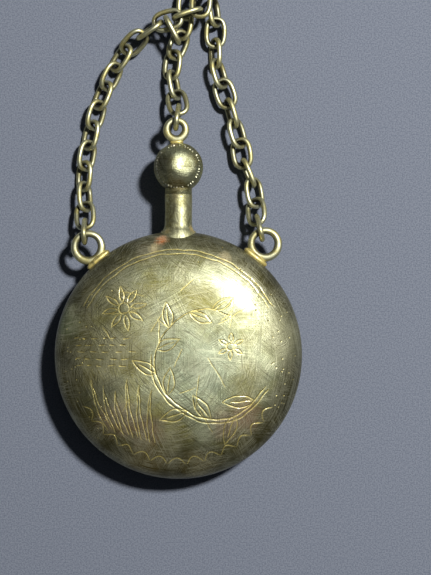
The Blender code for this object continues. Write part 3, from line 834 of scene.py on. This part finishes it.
def buildPlug():
    radius = plugHigh.x / mm
    low, high = plugLow.y / mm, plugHigh.y / mm
    collar, rest = radius + plug["collar"], neckHigh.y / mm + plug["collarGap"]
    edge, tang = plug["collarEdge"], plug["tang"]
    profile = [(radius - inset, low + up) for inset, up in plug["nose"]]
    profile += [(radius - plug["play"], rest), (collar - edge, rest), (collar, rest + edge)]
    for reach in np.linspace(collar, tang, plug["seatRows"]):  # the seat follows the ball
        profile.append((reach, ballHeight - sqrt((ballRadius + plug["seatGap"]) ** 2 - reach**2)))
    profile += [(tang, high - plug["tangEdge"]), (tang - plug["tangEdge"], high)]
    points, faces = lathe(profile, plug["turns"], False)
    points[:, 2] += seamHeight
    addPiece("stopper_plug_turned", points, faces, "stopper", "stopper_plug", ballFinish)


buildBowl("stopper_ball_top", "stopper_ball_cap", 1, ball["pole"])
buildBowl("stopper_ball_bowl", "stopper_ball_base", -1, ball["hole"])
buildPlug()
print("stopper: ball and plug")

# wire rings and chain links: round wire, worn where links rub, darker inside the loops (partly patina,
# partly painted shade) and painted shade low on the sides
wireLook = variant(
    domeLook, leaveOut=("rim",), seed=60.0, cloudSize=2.4,
    bright=(0.98, 0.98, 0.66), dull=(0.74, 0.67, 0.28),
    dark=(0.05, 0.04, 0.012), rough=(0.47, 0.55), relief=0.012, polish=(0.5, 0.2), scratches=0.3, specks=0.3,
    # painted shade: a near-black tint inside the loops and under the wires
    mask="patinaAndPaintedShade", maskShare=0.95, maskTint=(0.02, 0.016, 0.005), maskRough=0.1, patches=[], grain=0.15,
)
wireFinish = metalFinish("chainSilver", wireLook)
wirePatinaAndShade = {
    "inside": 1.4, "facing": (0.5, 0.75), "facingPower": 1.5, "low": 0.8, "lowStart": 0.65, "lowSlope": 1.4,
}
chainLink = {
    "length": 6.7, "width": 4.7, "wire": 0.53, "fullness": 2.7, "steps": 64, "sides": 16,
    "slim": 0.985, "wear": 0.09, "uneven": 0.015, "seam": 0.028, "seamWidth": 0.02, "seamSpan": (0.05, 0.2),
    "patinaAndShade": (0.45, 0.55),
}


def wirePatinaAndShadeMask(normals, facing, ends):
    # darker inside the loops near the ends, partly patina and partly painted shade, and painted shade low on
    # the sides that face down; the tops stay bright
    start, slope = wirePatinaAndShade["facing"]
    inner = np.clip(start + slope * facing, 0, 1)[None, :] ** wirePatinaAndShade["facingPower"] * ends[:, None]
    low = np.clip(wirePatinaAndShade["lowStart"] - normals[..., 2] * wirePatinaAndShade["lowSlope"], 0, 1)
    return np.clip(wirePatinaAndShade["inside"] * inner + wirePatinaAndShade["low"] * low, 0, 1).ravel()


def linkPath():
    # an oval between a racetrack and an ellipse, in even steps, with the direction to its inside
    long = chainLink["length"] / 2 - chainLink["wire"]
    broad = chainLink["width"] / 2 - chainLink["wire"]
    power = 2 / chainLink["fullness"]
    turns = np.linspace(0, 2 * pi, 2001)
    x = long * np.sign(np.cos(turns)) * np.abs(np.cos(turns)) ** power
    y = broad * np.sign(np.sin(turns)) * np.abs(np.sin(turns)) ** power
    length = np.concatenate([[0], np.cumsum(np.hypot(np.diff(x), np.diff(y)))])
    at = (np.arange(chainLink["steps"]) + 0.5) / chainLink["steps"] * length[-1]
    x, y = np.interp(at, length, x), np.interp(at, length, y)
    steep = chainLink["fullness"] - 1
    slopeX = np.sign(x) * np.abs(x / long) ** steep / long
    slopeY = np.sign(y) * np.abs(y / broad) ** steep / broad
    inward = -np.stack([slopeX, slopeY, 0 * x], 1)
    ends = np.clip(np.abs(x) / long * 2 - 1, 0, 1)  # 1 at the link's two ends, 0 along its sides
    return np.stack([x, y, 0 * x], 1), inward / np.linalg.norm(inward, axis=1)[:, None], ends


def buildLink(node, number):
    dice = np.random.RandomState(100 + number)
    path, inward, ends = linkPath()
    seamAt, tilt = dice.uniform(*chainLink["seamSpan"]), dice.uniform(0, 2 * pi, 2)

    def shape(share, angle):
        worn = chainLink["wear"] * ends[:, None] * np.clip(np.cos(angle), 0, 1) ** 2
        lump = chainLink["seam"] * np.exp(-(((share - seamAt) / chainLink["seamWidth"]) ** 2))
        wavy = chainLink["uneven"] * np.sin(2 * angle + tilt[0]) * np.cos(4 * pi * share + tilt[1])
        return chainLink["slim"] - worn + lump + wavy

    points, faces, normals, facing = sweep(path, inward, chainLink["wire"], chainLink["sides"], shape)
    centre, axes = nodeAxes(node)
    piece = addPiece(node + "_wire", points @ axes + centre, faces, node, node, wireFinish)
    least, more = chainLink["patinaAndShade"]
    storeMask(piece, "patinaAndPaintedShade", wirePatinaAndShadeMask(normals @ axes, facing, least + more * ends))


linkNodes = sorted(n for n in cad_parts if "_link" in n)
for number, node in enumerate(linkNodes):
    buildLink(node, number)
print("chain links:", len(linkNodes))

# fuller makes a ring's wire thicker outside, and snug thickens it inside, away from its link
wireRing = {"steps": 96, "sides": 20, "uneven": 0.02, "fuller": 0.1, "snug": 0.24, "clear": 0.6, "patinaAndShade": 0.4}


def buildRing(node, body, link, seed, share=1.0):
    found = nodePoints(node)
    centre, axes = nodeAxes(node)
    flat = (found - centre) @ axes.T
    reach = np.hypot(flat[:, 0], flat[:, 1])
    wire = (reach.max() - reach.min()) / 2 + wireRing["fuller"] * share
    radius = (reach.max() + reach.min()) / 2 + wireRing["fuller"] * share
    toLink = (nodePoints(link).mean(0) - centre) @ axes.T
    hangs = np.arctan2(toLink[1], toLink[0])
    turn = np.arange(wireRing["steps"]) * 2 * pi / wireRing["steps"]
    path = radius * np.stack([np.cos(turn), np.sin(turn), 0 * turn], 1)
    dice = np.random.RandomState(seed)
    tilt = dice.uniform(0, 2 * pi, 2)

    def shape(along, angle):
        uneven = np.sin(2 * angle + 4 * pi * along + tilt[0]) * np.cos(6 * pi * along + tilt[1])
        nearLink = np.cos(2 * pi * along - hangs)
        clear = np.clip(wireRing["clear"] - nearLink, 0, 1)  # none where the link hangs
        snug = wireRing["snug"] / wire * share * clear * np.clip(np.cos(angle), 0, 1)
        return 1 + wireRing["uneven"] * uneven + snug

    points, faces, normals, facing = sweep(path, -path / radius, wire, wireRing["sides"], shape)
    piece = addPiece(node + "_wire", points @ axes + centre, faces, body, node, wireFinish)
    patinaAndShade = np.full(wireRing["steps"], wireRing["patinaAndShade"])
    storeMask(piece, "patinaAndPaintedShade", wirePatinaAndShadeMask(normals @ axes, facing, patinaAndShade))
    return centre


leftLug = buildRing("left_lug_ring", "flask", "left_link_01", 1)
rightLug = buildRing("right_lug_ring", "flask", "right_link_01", 2)
stopperRing = buildRing("stopper_ring", "stopper", "tether_link_01", 3)
buildRing("hang_ring", "hang_ring", "left_link_17", 4, 0.0)
print("rings: lugs, stopper ring, hanging ring")

# hard solder: small lumpy fillets in a yellower metal
solder = {
    "rings": 28, "turns": 48, "pole": 0.12, "lumpSize": 1.6, "lumpDepth": 0.035,
    "lugSizes": (2.9, 0.8, 1.2), "lugOut": 0.2, "lugUp": 0.2, "ringSizes": (1.4, 0.5, 0.9), "ringOut": 0.1,
}
solderLook = variant(
    domeLook, leaveOut=("mask", "rim"), seed=75.0, cloudSize=1.2, cloudCrust=0.6,
    bright=(0.86, 0.76, 0.34), dull=(0.76, 0.62, 0.20), dark=(0.30, 0.20, 0.07), rough=(0.5, 0.6),
    relief=0.01, scratches=0.0, patches=[], grain=0.1, specks=0.2,
)
solderFinish = metalFinish("yellowSolder", solderLook)


def buildSolder(node, body, centre, out, sizes, seed):
    # sizes: along the seam, outward, and up
    turns = np.linspace(solder["pole"], pi - solder["pole"], solder["rings"])
    points, faces = lathe([(sin(t), -cos(t)) for t in turns], solder["turns"], False)
    lumps = 1 + solder["lumpDepth"] * rolling(points * np.array(sizes), solder["lumpSize"], seed)
    points = points * lumps[:, None] * np.array(sizes)
    across = np.array([-out[1], out[0], 0.0]) / np.hypot(out[0], out[1])
    points = points @ np.stack([across, out, (0, 0, 1)]) + centre
    addPiece(node + "_fillet", points, faces, body, node, solderFinish)


for node, lug, seed in (("left_lug_solder", leftLug, 31), ("right_lug_solder", rightLug, 32)):
    out = np.array([lug[0], lug[1], 0.0]) / np.hypot(lug[0], lug[1])
    seat = out * (flaskRadius + solder["lugOut"]) + (0, 0, seamHeight + solder["lugUp"])
    buildSolder(node, "flask", seat, out, solder["lugSizes"], seed)
ballCentre = np.array([0.0, ballHeight, seamHeight])
ringWay = (stopperRing - ballCentre) / np.linalg.norm(stopperRing - ballCentre)
ballTop = ballCentre + ringWay * (ballRadius + solder["ringOut"])
buildSolder("stopper_ring_solder", "stopper", ballTop, ringWay, solder["ringSizes"], 33)
print("solder fillets: lugs and stopper ring")

# floor, light and camera
paper = {
    "size": 1.6, "colour": (0.255, 0.28, 0.345), "shade": (0.155, 0.18, 0.24), "speck": (0.38, 0.62),
    "speckScale": 3.4, "rough": 0.9, "gloss": 0.2,
}


def buildFloor():
    finish = bpy.data.materials.new("paleFloor")
    finish.use_nodes = True
    tree = finish.node_tree
    shader = tree.nodes["Principled BSDF"]
    place = moved(tree, put(tree, "TexCoord").outputs["Object"], "MULTIPLY", (1 / mm,) * 3)
    speck = ramp(tree, noise(tree, place, paper["speckScale"], detail=3.0, rough=0.7), *paper["speck"])
    colour = blendColour(tree, speck, (*paper["colour"], 1), (*paper["shade"], 1))
    tree.links.new(colour, shader.inputs["Base Color"])
    shader.inputs["Roughness"].default_value = paper["rough"]
    shader.inputs["Specular IOR Level"].default_value = paper["gloss"]
    half = paper["size"] / 2
    corners = [(-half, -half, 0), (half, -half, 0), (half, half, 0), (-half, half, 0)]
    mesh = bpy.data.meshes.new("floor")
    mesh.from_pydata(corners, [], [(0, 1, 2, 3)])
    mesh.materials.append(finish)
    floor = bpy.data.objects.new("floor", mesh)
    bpy.context.scene.collection.objects.link(floor)


def addLamp(name, place, target, size, power, colour):
    lamp = bpy.data.lights.new(name, "AREA")
    lamp.shape = "DISK"
    lamp.size = size
    lamp.energy = power
    lamp.color = colour
    holder = bpy.data.objects.new(name, lamp)
    bpy.context.scene.collection.objects.link(holder)
    holder.location = place
    holder.rotation_euler = (Vector(target) - Vector(place)).to_track_quat("-Z", "Y").to_euler()


lights = {
    "key": {
        "way": (0.351, 0.300, 0.887), "far": 0.6, "size": 0.06, "power": 4.0, "colour": (1.0, 0.985, 0.94),
    },
    "fill": {
        "way": (0.10, 0.14, 0.98), "far": 0.8, "size": 0.5, "power": 0.08, "colour": (0.94, 0.97, 1.0),
    },
    "target": (4.0, 20.0), "world": (0.016, 0.018, 0.021),
}


def buildLight():
    middle = Vector((*lights["target"], seamHeight)) * mm
    for name in ("key", "fill"):
        lamp = lights[name]
        place = middle + Vector(lamp["way"]).normalized() * lamp["far"]
        addLamp(name, place, middle, lamp["size"], lamp["power"], lamp["colour"])
    world = bpy.data.worlds.new("softRoom")
    world.use_nodes = True
    world.node_tree.nodes["Background"].inputs["Color"].default_value = (*lights["world"], 1)
    bpy.context.scene.world = world


# straight down, with the flask's seam at the photo's scale
view = {"imageHeight": 575, "mmPerPixel": 0.2024, "middle": (7.49, 13.66), "above": 300.0, "sensor": 32.0}


def buildCamera():
    camera = bpy.data.cameras.new("overhead")
    camera.sensor_fit = "VERTICAL"
    camera.sensor_height = view["sensor"]
    camera.lens = view["sensor"] * view["above"] / (view["imageHeight"] * view["mmPerPixel"])
    camera.clip_start = 0.01
    holder = bpy.data.objects.new("overhead", camera)
    bpy.context.scene.collection.objects.link(holder)
    holder.location = (view["middle"][0] * mm, view["middle"][1] * mm, (seamHeight + view["above"]) * mm)
    bpy.context.scene.camera = holder


buildFloor()
buildLight()
buildCamera()
bpy.context.scene.view_settings.view_transform = "Standard"
print("floor, light and camera set")
